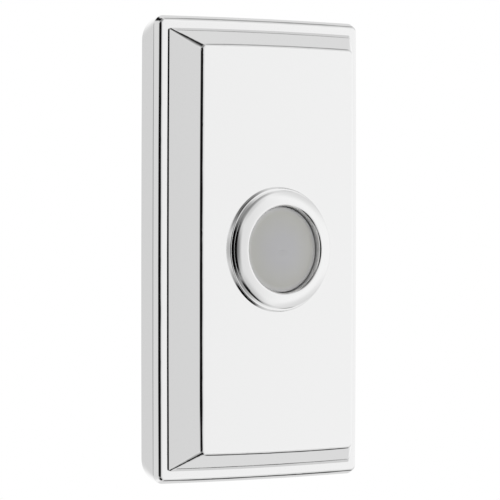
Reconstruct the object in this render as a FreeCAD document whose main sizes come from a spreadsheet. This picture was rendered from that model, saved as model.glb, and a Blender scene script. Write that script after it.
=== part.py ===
"""Doorbell push button: a bevelled cover plate with a bezel ring and a sprung, lit button.

Every sub-part is drawn lying on its back: X to the right, Y up the wall and Z out of the wall,
with the wall at Z = 0 and the button's axis through the origin. Each one is then stood up, so
that in the finished model X is to the right, Z is up and the front faces -Y.
"""
import FreeCAD, Part
import math
import os
import re

import Sketcher

# The driving sizes in millimetres. A height is measured out from the wall unless it says else.
SIZES = {
    # Cover plate: outline and the tiers of its edge, each set in from its sides and ends
    "plate_height": 95.25,
    "plate_width": 51.7,
    "end_bow": 0.25,
    "side_bow": 0.15,
    "back_corner": 5.0,
    "rim_height": 4.2,
    "rim_corner": 2.2,
    "rim_edge": 0.25,
    "ledge_inset": 0.95,
    "ledge_end_inset": 0.8,
    "ledge_height": 5.5,
    "ledge_corner": 0.75,
    "ledge_edge": 0.95,
    "crease_inset": 2.77,
    "crease_end_inset": 2.55,
    "riser_height": 0.32,
    "mitre_corner": 0.5,
    "face_inset": 6.72,
    "face_end_inset": 6.12,
    "face_height": 11.9,
    "face_corner": 1.2,
    "face_edge": 0.94,
    "cover_wall": 2.0,
    "cavity_corner": 1.5,
    # Bosses in the cover that carry the terminal base
    "boss_gap": 0.9,
    "boss_radius": 2.9,
    "boss_hole_depth": 4.0,
    # Hook and locking screw between the cover and the mounting plate
    "lug_width": 14.0,
    "lug_depth": 2.2,
    "lug_thickness": 1.3,
    "lug_lift": 0.3,
    "hook_clearance": 0.3,
    "hook_end_gap": 0.8,
    "lock_boss_width": 8.0,
    "lock_boss_depth": 2.2,
    "lock_boss_height": 4.2,
    "set_screw_radius": 1.5,
    "set_screw_height": 2.3,
    "set_screw_recess": 0.5,
    "socket_width": 1.5,
    "socket_depth": 1.6,
    # Mounting plate
    "mount_width": 36.0,
    "mount_corner": 3.0,
    "mount_thickness": 1.2,
    "window_gap": 2.1,
    "wall_screw_spacing": 60.0,
    "wall_screw_hole": 2.3,
    "tab_width": 12.0,
    "tab_slope": 1.2,
    "ear_width": 9.0,
    "ear_height": 4.8,
    "ear_gap": 0.8,
    "ear_hole_clearance": 0.2,
    # Bezel ring, its washer and its nut
    "bezel_radius": 12.85,
    "skirt_height": 0.76,
    "skirt_taper": 0.23,
    "skirt_edge": 0.3,
    "skirt_step": 0.75,
    "lip_wall": 0.68,
    "shoulder_width": 0.4,
    "shoulder_rise": 0.256,
    "shoulder_radius": 1.65,
    "crown_rise": 0.67,
    "crown_radius": 7.5,
    "opening_radius": 8.87,
    "opening_edge": 0.58,
    "stop_depth": 1.0,
    "stop_width": 1.13,
    "barrel_wall": 1.0,
    "barrel_clearance": 0.15,
    "thread_clearance": 0.05,
    "washer_width": 1.85,
    "washer_thickness": 0.6,
    "tooth_length": 0.9,
    "tooth_gap": 1.3,
    "nut_width": 2.8,
    "nut_thickness": 2.0,
    "nut_slot_width": 2.4,
    "nut_slot_depth": 1.2,
    # Button: lens cap, plunger, contact bridge and return spring
    "button_travel": 1.0,
    "lens_gap": 0.12,
    "lens_lift": 0.9,
    "lens_dome": 0.5,
    "lens_edge": 0.25,
    "lens_wall": 1.0,
    "flange_thickness": 1.0,
    "slide_clearance": 0.1,
    "glue_gap": 0.1,
    "plunger_bore": 5.2,
    "collar_gap": 0.5,
    "collar_thickness": 0.8,
    "plunger_height": 1.5,
    "foot_radius": 6.9,
    "peg_radius": 0.5,
    "peg_offset": 6.0,
    "peg_head_radius": 0.9,
    "peg_head_thickness": 0.3,
    "peg_clearance": 0.05,
    "bridge_bore": 3.4,
    "bridge_radius": 7.2,
    "bridge_thickness": 0.3,
    "spring_gap": 0.72,
    "spring_wire": 0.45,
    "spring_turns": 4.0,
    # Terminal base and what it carries
    "base_depth": 8.9,
    "base_floor": 2.8,
    "rim_wall": 1.25,
    "seat_step": 0.6,
    "rim_lip": 0.6,
    "ear_thickness": 1.8,
    "ear_root": 2.0,
    "contact_thickness": 0.4,
    "contact_inner": 3.0,
    "contact_gap": 0.9,
    "contact_half_width": 4.5,
    "terminal_offset": 5.5,
    "terminal_thread": 1.5,
    "terminal_head_radius": 2.75,
    "terminal_head_height": 1.6,
    "terminal_end_gap": 0.1,
    "screw_hole_clearance": 0.1,
    "slot_width": 0.7,
    "slot_depth": 0.8,
    "clamp_width": 6.2,
    "clamp_thickness": 0.7,
    "base_screw_thread": 1.25,
    "base_screw_head_radius": 2.3,
    "base_screw_head_height": 1.5,
    "base_screw_end_gap": 0.4,
    # Lamp, its leads and the ballast resistor
    "lamp_seat_radius": 2.4,
    "lamp_seat_height": 0.8,
    "lamp_flange_radius": 1.9,
    "lamp_flange_height": 1.0,
    "lamp_radius": 1.5,
    "lamp_length": 4.4,
    "lead_radius": 0.25,
    "lead_offset": 1.27,
    "lead_bend": 0.5,
    "lead_depth": 0.3,
    "lead_overlap": 1.2,
    "groove_clearance": 0.1,
    "resistor_start": 3.2,
    "resistor_length": 3.6,
    "resistor_cap_radius": 0.85,
    "resistor_cap_length": 0.8,
    "resistor_waist_radius": 0.7,
    "lead_run": 1.4,
    # How far a cut that goes right through runs past the material
    "overrun": 1.0,
}

# Counts of what repeats
TOOTH_COUNT = 12
NUT_SLOT_COUNT = 4

# Heights that several sub-parts share, as formulas of the driving sizes
INNER_FACE = "(face_height - cover_wall)"
STOP_HEIGHT = "(face_height - stop_depth)"
FLANGE_BACK = f"({STOP_HEIGHT} - flange_thickness)"
BASE_BACK = "(face_height - base_depth)"
FLOOR_HEIGHT = f"({BASE_BACK} + base_floor)"
SEAT_HEIGHT = f"({FLOOR_HEIGHT} + seat_step)"
CONTACT_TOP = f"({FLOOR_HEIGHT} + contact_thickness)"
BRIDGE_BACK = f"({CONTACT_TOP} + button_travel)"
BRIDGE_FRONT = f"({BRIDGE_BACK} + bridge_thickness)"
BEVEL_FOOT = "(ledge_height + riser_height)"
LAMP_SEAT = f"({FLOOR_HEIGHT} + lamp_seat_height)"
LEAD_HEIGHT = f"({BASE_BACK} + lead_depth)"
CLAMP_BACK = f"({BASE_BACK} - clamp_thickness)"
EAR_BACK = f"({SEAT_HEIGHT} - ear_thickness)"
WASHER_BACK = f"({INNER_FACE} - washer_thickness)"

# Radii and lengths that several sub-parts share
BORE = "(opening_radius + stop_width)"
BARREL = f"({BORE} + barrel_wall)"
RIM_BORE = f"({BARREL} + barrel_clearance)"
BASE_RADIUS = f"({RIM_BORE} + rim_wall)"
NUT_RADIUS = f"({BARREL} + nut_width)"
BOSS_OFFSET = f"({NUT_RADIUS} + boss_gap + boss_radius)"
LENS_RADIUS = "(opening_radius - lens_gap)"
SPRING_RADIUS = f"({BORE} - spring_gap - spring_wire / 2)"
SPRING_INSIDE = f"({SPRING_RADIUS} - spring_wire / 2)"
CONTACT_RADIUS = f"({SPRING_INSIDE} - contact_gap)"
COVER_END = "(plate_height / 2 - cover_wall)"
EAR_OUTSIDE = f"({COVER_END} - lock_boss_depth - ear_gap)"
MOUNT_END = f"({EAR_OUTSIDE} - mount_thickness)"
CLAMP_LEAD_END = "(clamp_width / 2 - lead_overlap)"
RESISTOR_END = "(resistor_start + resistor_length)"
LEAD_TURN = f"({RESISTOR_END} + lead_run)"

# How far the bevel rises from its foot to the face
BEVEL_RISE = f"(face_height - {BEVEL_FOOT})"


def inner_inset(height, foot, face):
    """How far in the cover's sloping inner wall lies at a height, for a bevel's two insets."""
    run = f"({face} - {foot})"
    wall = f"cover_wall * sqrt({run}^2 + {BEVEL_RISE}^2) / {BEVEL_RISE}"
    return f"({foot} + ({height} - {BEVEL_FOOT}) * {run} / {BEVEL_RISE} + {wall})"


def inner_insets(height):
    """The inner wall's insets at a height, from the sides and from the ends."""
    sides = inner_inset(height, "crease_inset", "face_inset")
    return sides, inner_inset(height, "crease_end_inset", "face_end_inset")


doc = FreeCAD.newDocument("doorbell_button")


def fill_sheet():
    """The spreadsheet that holds the driving sizes, one named cell each."""
    sheet = doc.addObject("Spreadsheet::Sheet", "Sizes")
    for row, (name, size) in enumerate(SIZES.items(), start=1):
        sheet.set(f"A{row}", name)
        sheet.set(f"B{row}", str(size))
        sheet.setAlias(f"B{row}", name)
    doc.recompute()
    return sheet


SHEET = fill_sheet()


def formula(text):
    """A formula of size names as an expression that reads the sheet."""
    return re.sub(r"[a-z_]+", lambda m: "Sizes." + m[0] if m[0] in SIZES else m[0], text)


def value(text):
    """The number that a formula of size names comes to now."""
    return float(SHEET.evalExpression(formula(text)))


def bind(item, prop, text):
    """Ties a property to a formula of the driving sizes."""
    item.setExpression(prop, formula(text))


def new_body(name):
    """An empty body whose label is the name of its file."""
    body = doc.addObject("PartDesign::Body", name)
    body.Label = name
    return body


def origin_item(body, role):
    """One of the body's own origin planes or axes."""
    return next(item for item in body.Origin.OriginFeatures if item.Role == role)


def sketch_on(body, name, role="XY_Plane", offset=None):
    """An empty sketch on an origin plane of the body, moved along the plane's normal."""
    sketch = body.newObject("Sketcher::SketchObject", name)
    sketch.AttachmentSupport = [(origin_item(body, role), "")]
    sketch.MapMode = "FlatFace"
    if offset:
        bind(sketch, "AttachmentOffset.Base.z", offset)
    return sketch


def hold_point(sketch, curve, end, x, y):
    """Holds one point of a curve at a place given by two formulas."""
    for kind, axis, text in (("DistanceX", -2, x), ("DistanceY", -1, y)):
        if text == "0":
            sketch.addConstraint(Sketcher.Constraint("PointOnObject", curve, end, axis))
            continue
        index = sketch.addConstraint(
            Sketcher.Constraint(kind, -1, 1, curve, end, value(text))
        )
        bind(sketch, f"Constraints[{index}]", text)


def hold_radius(sketch, curve, text):
    """Holds the radius of a circle or an arc."""
    index = sketch.addConstraint(Sketcher.Constraint("Radius", curve, value(text)))
    bind(sketch, f"Constraints[{index}]", text)


def arc_centre(start, end, radius, turn):
    """Centre of the short arc between two points that turns left (1) or right (-1)."""
    chord = end - start
    middle = (start + end) * 0.5
    side = FreeCAD.Vector(-chord.y, chord.x, 0) * (turn / chord.Length)
    return middle + side * math.sqrt(max(radius**2 - chord.Length**2 / 4, 0.0))


def outline(sketch, corners, closed=True):
    """Draws a path through corners, each (x, y) or, where an arc leaves it, (x, y, radius, turn)."""
    points = [FreeCAD.Vector(value(c[0]), value(c[1]), 0) for c in corners]
    count = len(corners) if closed else len(corners) - 1
    runs = []
    for i in range(count):
        start = points[i]
        end = points[(i + 1) % len(points)]
        if len(corners[i]) == 2:
            curve = sketch.addGeometry(Part.LineSegment(start, end), False)
            runs.append((curve, 1, 2))
            continue
        _, _, radius, turn = corners[i]
        centre = arc_centre(start, end, value(radius), turn)
        circle = Part.Circle(centre, FreeCAD.Vector(0, 0, 1), value(radius))
        first, last = (start, end) if turn > 0 else (end, start)
        arc = Part.ArcOfCircle(circle, circle.parameter(first), circle.parameter(last))
        curve = sketch.addGeometry(arc, False)
        runs.append((curve, 1, 2) if turn > 0 else (curve, 2, 1))
        hold_radius(sketch, curve, radius)
    for i in range(count):
        curve, first, last = runs[i]
        hold_point(sketch, curve, first, *corners[i][:2])
        if closed or i + 1 < count:
            after, after_first, _ = runs[(i + 1) % count]
            sketch.addConstraint(
                Sketcher.Constraint("Coincident", curve, last, after, after_first)
            )
        else:
            hold_point(sketch, curve, last, *corners[-1][:2])


def rounded_rectangle(sketch, half_width, half_height, corner):
    """Draws a rectangle about the origin with round corners."""
    w, t = half_width, half_height
    outline(
        sketch,
        [
            (f"{w} - {corner}", f"-{t}", corner, 1),
            (w, f"-{t} + {corner}"),
            (w, f"{t} - {corner}", corner, 1),
            (f"{w} - {corner}", t),
            (f"-{w} + {corner}", t, corner, 1),
            (f"-{w}", f"{t} - {corner}"),
            (f"-{w}", f"-{t} + {corner}", corner, 1),
            (f"-{w} + {corner}", f"-{t}"),
        ],
    )


def circle(sketch, radius, x="0", y="0"):
    """Draws a circle."""
    centre = FreeCAD.Vector(value(x), value(y), 0)
    normal = FreeCAD.Vector(0, 0, 1)
    curve = sketch.addGeometry(Part.Circle(centre, normal, value(radius)), False)
    hold_radius(sketch, curve, radius)
    if x == "0" and y == "0":
        sketch.addConstraint(Sketcher.Constraint("Coincident", curve, 3, -1, 1))
    else:
        hold_point(sketch, curve, 3, x, y)


def rectangle(sketch, left, right, low, high):
    """Draws a rectangle between four formulas."""
    outline(sketch, [(left, low), (right, low), (right, high), (left, high)])


def bowed_outline(sketch, side_inset, end_inset, corner):
    """Draws the plate's outline set in: four bowed sides with tangent round corners."""
    half_width = f"(plate_width / 2 - {side_inset})"
    half_height = f"(plate_height / 2 - {end_inset})"
    end_radius = f"(({half_width}^2 + end_bow^2) / (2 * end_bow))"
    side_radius = f"(({half_height}^2 + side_bow^2) / (2 * side_bow))"
    top = FreeCAD.Vector(0, value(f"{half_height} - {end_radius}"), 0)
    right = FreeCAD.Vector(value(f"{half_width} - {side_radius}"), 0, 0)
    end_size, side_size, corner_size = value(end_radius), value(side_radius), value(corner)
    x = value(half_width) - corner_size
    y = value(half_height) - corner_size
    for _ in range(8):
        x = right.x + math.sqrt((side_size - corner_size) ** 2 - y**2)
        y = top.y + math.sqrt((end_size - corner_size) ** 2 - x**2)
    centre = FreeCAD.Vector(x, y, 0)
    on_top = top + (centre - top).normalize() * end_size
    on_side = right + (centre - right).normalize() * side_size

    def arc(middle, radius, first, last):
        ring = Part.Circle(middle, FreeCAD.Vector(0, 0, 1), radius)
        return sketch.addGeometry(
            Part.ArcOfCircle(ring, ring.parameter(first), ring.parameter(last)), False
        )

    def flip(point, sx, sy):
        return FreeCAD.Vector(point.x * sx, point.y * sy, 0)

    # Counter-clockwise from the right side: side, corner, end, corner and so on
    sides = [
        arc(right, side_size, flip(on_side, 1, -1), on_side),
        arc(centre, corner_size, on_side, on_top),
        arc(top, end_size, on_top, flip(on_top, -1, 1)),
        arc(flip(centre, -1, 1), corner_size, flip(on_top, -1, 1), flip(on_side, -1, 1)),
        arc(flip(right, -1, 1), side_size, flip(on_side, -1, 1), flip(on_side, -1, -1)),
        arc(flip(centre, -1, -1), corner_size, flip(on_side, -1, -1), flip(on_top, -1, -1)),
        arc(flip(top, 1, -1), end_size, flip(on_top, -1, -1), flip(on_top, 1, -1)),
        arc(flip(centre, 1, -1), corner_size, flip(on_top, 1, -1), flip(on_side, 1, -1)),
    ]
    for here, after in zip(sides, sides[1:] + sides[:1]):
        sketch.addConstraint(Sketcher.Constraint("Tangent", here, 2, after, 1))
    for curve in sides[1::2]:
        hold_radius(sketch, curve, corner)
    hold_radius(sketch, sides[0], side_radius)
    hold_radius(sketch, sides[4], side_radius)
    hold_radius(sketch, sides[2], end_radius)
    hold_radius(sketch, sides[6], end_radius)
    hold_point(sketch, sides[0], 3, f"{half_width} - {side_radius}", "0")
    hold_point(sketch, sides[4], 3, f"{side_radius} - {half_width}", "0")
    hold_point(sketch, sides[2], 3, "0", f"{half_height} - {end_radius}")
    hold_point(sketch, sides[6], 3, "0", f"{end_radius} - {half_height}")


def pad(body, sketch, length, backwards=False):
    """Pads a sketch along its normal."""
    doc.recompute()
    feature = body.newObject("PartDesign::Pad", sketch.Name + "_pad")
    feature.Profile = sketch
    feature.Reversed = backwards
    bind(feature, "Length", length)
    doc.recompute()
    return feature


def pocket(body, sketch, length, backwards=False):
    """Cuts a sketch into the body and makes sure that it took material away."""
    doc.recompute()
    before = body.Tip.Shape.Volume
    feature = body.newObject("PartDesign::Pocket", sketch.Name + "_cut")
    feature.Profile = sketch
    feature.Reversed = backwards
    bind(feature, "Length", length)
    doc.recompute()
    if feature.Shape.Volume >= before:
        raise ValueError(f"{feature.Name} of {body.Label} cuts nothing")
    return feature


def revolve(body, sketch):
    """Turns a profile a full turn about the body's Z axis."""
    doc.recompute()
    feature = body.newObject("PartDesign::Revolution", sketch.Name + "_turn")
    feature.Profile = sketch
    feature.ReferenceAxis = (origin_item(body, "Z_Axis"), [""])
    feature.Angle = 360
    doc.recompute()
    return feature


def loft(body, kind, lower, upper):
    """A ruled loft between two sketches, added or taken away."""
    doc.recompute()
    feature = body.newObject(f"PartDesign::{kind}Loft", lower.Name + "_loft")
    feature.Profile = lower
    feature.Sections = [upper]
    feature.Ruled = True
    doc.recompute()
    return feature


def around_axis(body, feature, count):
    """Repeats a feature about the body's Z axis."""
    pattern = body.newObject("PartDesign::PolarPattern", feature.Name + "_ring")
    pattern.Originals = [feature]
    pattern.Axis = (origin_item(body, "Z_Axis"), [""])
    pattern.Angle = 360
    pattern.Occurrences = count
    body.Tip = pattern
    doc.recompute()
    return pattern


def level_edges(shape, height):
    """Names of the edges that lie wholly at one height."""
    names = []
    for number, edge in enumerate(shape.Edges, start=1):
        box = edge.BoundBox
        if abs(box.ZMin - height) < 1e-4 and abs(box.ZMax - height) < 1e-4:
            names.append(f"Edge{number}")
    return names


def rim_edges(shape, radius, height):
    """Names of the round edges about the Z axis of one radius at one height."""
    names = []
    for name in level_edges(shape, height):
        edge = shape.getElement(name)
        start = edge.Vertexes[0].Point
        if abs(math.hypot(start.x, start.y) - radius) < 1e-4:
            names.append(name)
    return names


def round_edges(body, names, radius):
    """Rounds the named edges of the body's last feature."""
    if not names:
        raise ValueError(f"no edge to round on {body.Label}")
    base = body.Tip
    feature = body.newObject("PartDesign::Fillet", base.Name + "_round")
    feature.Base = (base, names)
    bind(feature, "Radius", radius)
    doc.recompute()
    return feature


def cover_plate():
    """Cast cover: rim, small bevel, ledge, bevel and face outside, thin walls and bosses inside."""
    body = new_body("cover_plate")
    back = sketch_on(body, "cover_back")
    bowed_outline(back, "0", "0", "back_corner")
    rim = sketch_on(body, "cover_rim", offset="rim_height")
    bowed_outline(rim, "0", "0", "rim_corner")
    loft(body, "Additive", back, rim)
    shoulder = sketch_on(body, "cover_shoulder", offset="rim_height")
    bowed_outline(shoulder, "0", "0", "rim_corner")
    ledge = sketch_on(body, "cover_ledge", offset="ledge_height")
    bowed_outline(ledge, "ledge_inset", "ledge_end_inset", "ledge_corner")
    loft(body, "Additive", shoulder, ledge)
    round_edges(body, level_edges(body.Tip.Shape, value("rim_height")), "rim_edge")
    round_edges(body, level_edges(body.Tip.Shape, value("ledge_height")), "ledge_edge")
    riser = sketch_on(body, "cover_riser", offset="ledge_height")
    bowed_outline(riser, "crease_inset", "crease_end_inset", "mitre_corner")
    pad(body, riser, "riser_height")
    foot = sketch_on(body, "cover_bevel", offset=BEVEL_FOOT)
    bowed_outline(foot, "crease_inset", "crease_end_inset", "mitre_corner")
    face = sketch_on(body, "cover_face", offset="face_height")
    bowed_outline(face, "face_inset", "face_end_inset", "face_corner")
    loft(body, "Additive", foot, face)
    round_edges(body, level_edges(body.Tip.Shape, value("face_height")), "face_edge")
    hollow_cover(body)
    cover_bosses(body)
    bezel_hole = sketch_on(body, "cover_bezel_hole", offset=INNER_FACE)
    circle(bezel_hole, RIM_BORE)
    pocket(body, bezel_hole, "cover_wall", backwards=True)
    return body


def hollow_cover(body):
    """The cavity behind the cover's face: straight at the rim, then sloping with the bevel."""
    rim_depth = "(ledge_height - cover_wall)"
    mouth = sketch_on(body, "cover_mouth")
    bowed_outline(mouth, "cover_wall", "cover_wall", "cavity_corner")
    pocket(body, mouth, rim_depth, backwards=True)
    low = sketch_on(body, "cover_cavity", offset=rim_depth)
    bowed_outline(low, *inner_insets(rim_depth), "cavity_corner")
    high = sketch_on(body, "cover_ceiling", offset=INNER_FACE)
    bowed_outline(high, *inner_insets(INNER_FACE), "cavity_corner")
    before = body.Tip.Shape.Volume
    loft(body, "Subtractive", low, high)
    if body.Tip.Shape.Volume >= before:
        raise ValueError("the cover's cavity cuts nothing")


def cover_bosses(body):
    """Two bosses for the base's screws, the hook lug at the top and the locking boss below."""
    for name, side in (("upper", ""), ("lower", "-")):
        place = f"{side}{BOSS_OFFSET}"
        boss = sketch_on(body, f"cover_boss_{name}", offset=SEAT_HEIGHT)
        circle(boss, "boss_radius", "0", place)
        pad(body, boss, f"{INNER_FACE} - {SEAT_HEIGHT}")
        hole = sketch_on(body, f"cover_boss_hole_{name}", offset=SEAT_HEIGHT)
        circle(hole, "base_screw_thread + thread_clearance", "0", place)
        pocket(body, hole, "boss_hole_depth", backwards=True)
    middle = f"({COVER_END} + cover_wall / 2)"
    lug = sketch_on(body, "cover_hook_lug", offset="lug_lift")
    rectangle(lug, "-lug_width / 2", "lug_width / 2", f"{COVER_END} - lug_depth", middle)
    pad(body, lug, "lug_thickness")
    lock = sketch_on(body, "cover_lock_boss", offset="lug_lift")
    edge = f"-{COVER_END} + lock_boss_depth"
    rectangle(lock, "-lock_boss_width / 2", "lock_boss_width / 2", f"-{middle}", edge)
    pad(body, lock, "lock_boss_height")
    start = f"{COVER_END} - lock_boss_depth - overrun"
    hole = sketch_on(body, "cover_lock_hole", "XZ_Plane", start)
    circle(hole, "set_screw_radius + thread_clearance", "0", "set_screw_height")
    pocket(body, hole, "lock_boss_depth + cover_wall + 2 * overrun", backwards=True)


def mounting_plate():
    """Pressed steel plate on the wall: a wire window, two screw holes, a hook and an ear."""
    body = new_body("mounting_plate")
    blank = sketch_on(body, "mount_blank")
    rounded_rectangle(blank, "mount_width / 2", MOUNT_END, "mount_corner")
    pad(body, blank, "mount_thickness")
    tab_low = "(lug_lift + lug_thickness + hook_clearance)"
    tab_end = f"{COVER_END} - hook_end_gap"
    tab = sketch_on(body, "mount_hook", "YZ_Plane", "-tab_width / 2")
    outline(
        tab,
        [
            (f"{MOUNT_END} - mount_thickness", "0"),
            (MOUNT_END, "0"),
            (f"{MOUNT_END} + tab_slope", tab_low),
            (tab_end, tab_low),
            (tab_end, f"{tab_low} + mount_thickness"),
            (f"{MOUNT_END} + tab_slope / 2", f"{tab_low} + mount_thickness"),
            (f"{MOUNT_END} - tab_slope / 2", "mount_thickness"),
            (f"{MOUNT_END} - mount_thickness", "mount_thickness"),
        ],
    )
    pad(body, tab, "tab_width")
    ear = sketch_on(body, "mount_ear", "YZ_Plane", "-ear_width / 2")
    rectangle(ear, f"-{EAR_OUTSIDE}", f"-{MOUNT_END}", "0", "ear_height")
    pad(body, ear, "ear_width")
    holes = sketch_on(body, "mount_holes")
    circle(holes, f"{BASE_RADIUS} + window_gap")
    circle(holes, "wall_screw_hole", "0", "wall_screw_spacing / 2")
    circle(holes, "wall_screw_hole", "0", "-wall_screw_spacing / 2")
    pocket(body, holes, "mount_thickness", backwards=True)
    lock = sketch_on(body, "mount_lock_hole", "XZ_Plane", MOUNT_END)
    circle(lock, "set_screw_radius + ear_hole_clearance", "0", "set_screw_height")
    pocket(body, lock, "mount_thickness", backwards=True)
    return body


def set_screw():
    """Grub screw with a hexagon socket, through the cover's bottom edge into the ear."""
    body = new_body("set_screw")
    outer = "(plate_height / 2 - set_screw_recess)"
    shank = sketch_on(body, "set_screw_shank", "XZ_Plane", outer)
    circle(shank, "set_screw_radius", "0", "set_screw_height")
    pad(body, shank, f"{outer} - {MOUNT_END} - mount_thickness / 2", backwards=True)
    socket = sketch_on(body, "set_screw_socket", "XZ_Plane", outer)
    corner = "socket_width / sqrt(3)"
    half = "socket_width / 2"
    outline(
        socket,
        [
            ("0", f"set_screw_height + {corner}"),
            (f"-{half}", f"set_screw_height + {corner} / 2"),
            (f"-{half}", f"set_screw_height - {corner} / 2"),
            ("0", f"set_screw_height - {corner}"),
            (half, f"set_screw_height - {corner} / 2"),
            (half, f"set_screw_height + {corner} / 2"),
        ],
    )
    pocket(body, socket, "socket_depth")
    return body


def bezel_ring():
    """Turned ring: a coned skirt, a stepped lip with a crowned front, and a threaded barrel."""
    body = new_body("bezel_ring")
    profile = sketch_on(body, "bezel_profile", "XZ_Plane")
    skirt_outer = "(bezel_radius - skirt_taper)"
    skirt_top = "(face_height + skirt_height)"
    lip_outer = "(bezel_radius - skirt_step)"
    wall_top = f"({skirt_top} + lip_wall)"
    crown_outer = f"({lip_outer} - shoulder_width)"
    crown_foot = f"({wall_top} + shoulder_rise)"
    mouth_height = f"({crown_foot} + crown_rise)"
    outline(
        profile,
        [
            (BORE, SEAT_HEIGHT),
            (BARREL, SEAT_HEIGHT),
            (BARREL, "face_height"),
            ("bezel_radius", "face_height"),
            (skirt_outer, skirt_top),
            (lip_outer, skirt_top),
            (lip_outer, wall_top, "shoulder_radius", 1),
            (crown_outer, crown_foot, "crown_radius", 1),
            ("opening_radius", mouth_height),
            ("opening_radius", STOP_HEIGHT),
            (BORE, STOP_HEIGHT),
        ],
    )
    revolve(body, profile)
    skirt = rim_edges(body.Tip.Shape, value(skirt_outer), value(skirt_top))
    round_edges(body, skirt, "skirt_edge")
    mouth = rim_edges(body.Tip.Shape, value("opening_radius"), value(mouth_height))
    round_edges(body, mouth, "opening_edge")
    return body


def lock_washer():
    """Thin washer with teeth cut into its inner edge."""
    body = new_body("lock_washer")
    ring = sketch_on(body, "washer_ring", offset=WASHER_BACK)
    circle(ring, f"{RIM_BORE} + washer_width")
    circle(ring, RIM_BORE)
    pad(body, ring, "washer_thickness")
    gap = sketch_on(body, "washer_gap", offset=WASHER_BACK)
    far = f"{RIM_BORE} + tooth_length"
    rectangle(gap, f"{RIM_BORE} - tooth_length / 2", far, "-tooth_gap / 2", "tooth_gap / 2")
    cut = pocket(body, gap, "washer_thickness", backwards=True)
    around_axis(body, cut, TOOTH_COUNT)
    return body


def ring_nut():
    """Round nut on the bezel's barrel with slots for a pin spanner."""
    body = new_body("ring_nut")
    back = f"{WASHER_BACK} - nut_thickness"
    ring = sketch_on(body, "nut_ring", offset=back)
    circle(ring, NUT_RADIUS)
    circle(ring, f"{BARREL} + thread_clearance")
    pad(body, ring, "nut_thickness")
    slot = sketch_on(body, "nut_slot", offset=back)
    half = "nut_slot_width / 2"
    rectangle(slot, f"{NUT_RADIUS} - nut_slot_depth", f"{NUT_RADIUS} + overrun", f"-{half}", half)
    cut = pocket(body, slot, "nut_thickness", backwards=True)
    around_axis(body, cut, NUT_SLOT_COUNT)
    return body


def button_lens():
    """Moulded cap: a gently domed front, a skirt and a flange that stops inside the bezel."""
    body = new_body("button_lens")
    profile = sketch_on(body, "lens_profile", "XZ_Plane")
    rim = "(face_height + lens_lift)"
    inner = f"({LENS_RADIUS} - lens_wall)"
    dome = f"(({LENS_RADIUS}^2 + lens_dome^2) / (2 * lens_dome))"
    inner_dome = f"(({inner}^2 + lens_dome^2) / (2 * lens_dome))"
    outer = f"{BORE} - slide_clearance"
    outline(
        profile,
        [
            (inner, FLANGE_BACK),
            (outer, FLANGE_BACK),
            (outer, STOP_HEIGHT),
            (LENS_RADIUS, STOP_HEIGHT),
            (LENS_RADIUS, rim, dome, 1),
            ("0", f"{rim} + lens_dome"),
            ("0", f"{rim} + lens_dome - lens_wall", inner_dome, -1),
            (inner, f"{rim} - lens_wall"),
        ],
    )
    revolve(body, profile)
    round_edges(body, rim_edges(body.Tip.Shape, value(LENS_RADIUS), value(rim)), "lens_edge")
    return body


def plunger():
    """White carrier in the lens's skirt, with a collar behind it and a foot for the bridge."""
    body = new_body("plunger")
    profile = sketch_on(body, "plunger_profile", "XZ_Plane")
    outer = f"{LENS_RADIUS} - lens_wall - glue_gap"
    collar = f"{SPRING_INSIDE} - collar_gap"
    collar_back = f"{FLANGE_BACK} - collar_thickness"
    top = f"{FLANGE_BACK} + plunger_height"
    outline(
        profile,
        [
            ("plunger_bore", BRIDGE_FRONT),
            ("foot_radius", BRIDGE_FRONT),
            ("foot_radius", collar_back),
            (collar, collar_back),
            (collar, FLANGE_BACK),
            (outer, FLANGE_BACK),
            (outer, top),
            ("plunger_bore", top),
        ],
    )
    revolve(body, profile)
    for name, side in (("upper", ""), ("lower", "-")):
        place = f"{side}peg_offset"
        peg = sketch_on(body, f"plunger_peg_{name}", offset=BRIDGE_BACK)
        circle(peg, "peg_radius", "0", place)
        pad(body, peg, "bridge_thickness")
        head = sketch_on(body, f"plunger_peg_head_{name}", offset=BRIDGE_BACK)
        circle(head, "peg_head_radius", "0", place)
        pad(body, head, "peg_head_thickness", backwards=True)
    return body


def contact_bridge():
    """Springy brass ring on the plunger's two pegs that joins the fixed contacts."""
    body = new_body("contact_bridge")
    ring = sketch_on(body, "bridge_ring", offset=BRIDGE_BACK)
    circle(ring, "bridge_radius")
    circle(ring, "bridge_bore")
    circle(ring, "peg_radius + peg_clearance", "0", "peg_offset")
    circle(ring, "peg_radius + peg_clearance", "0", "-peg_offset")
    pad(body, ring, "bridge_thickness")
    return body


def return_spring():
    """Round-wire coil between the base's floor and the lens's flange."""
    body = new_body("return_spring")
    wire = sketch_on(body, "spring_wire_section", "XZ_Plane")
    circle(wire, "spring_wire / 2", SPRING_RADIUS, f"{FLOOR_HEIGHT} + spring_wire / 2")
    doc.recompute()
    coil = body.newObject("PartDesign::AdditiveHelix", "spring_coil")
    coil.Profile = wire
    coil.ReferenceAxis = (origin_item(body, "Z_Axis"), [""])
    coil.Mode = "height-turns-angle"
    bind(coil, "Height", f"{FLANGE_BACK} - {FLOOR_HEIGHT} - spring_wire")
    bind(coil, "Turns", "spring_turns")
    doc.recompute()
    return body


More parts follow.
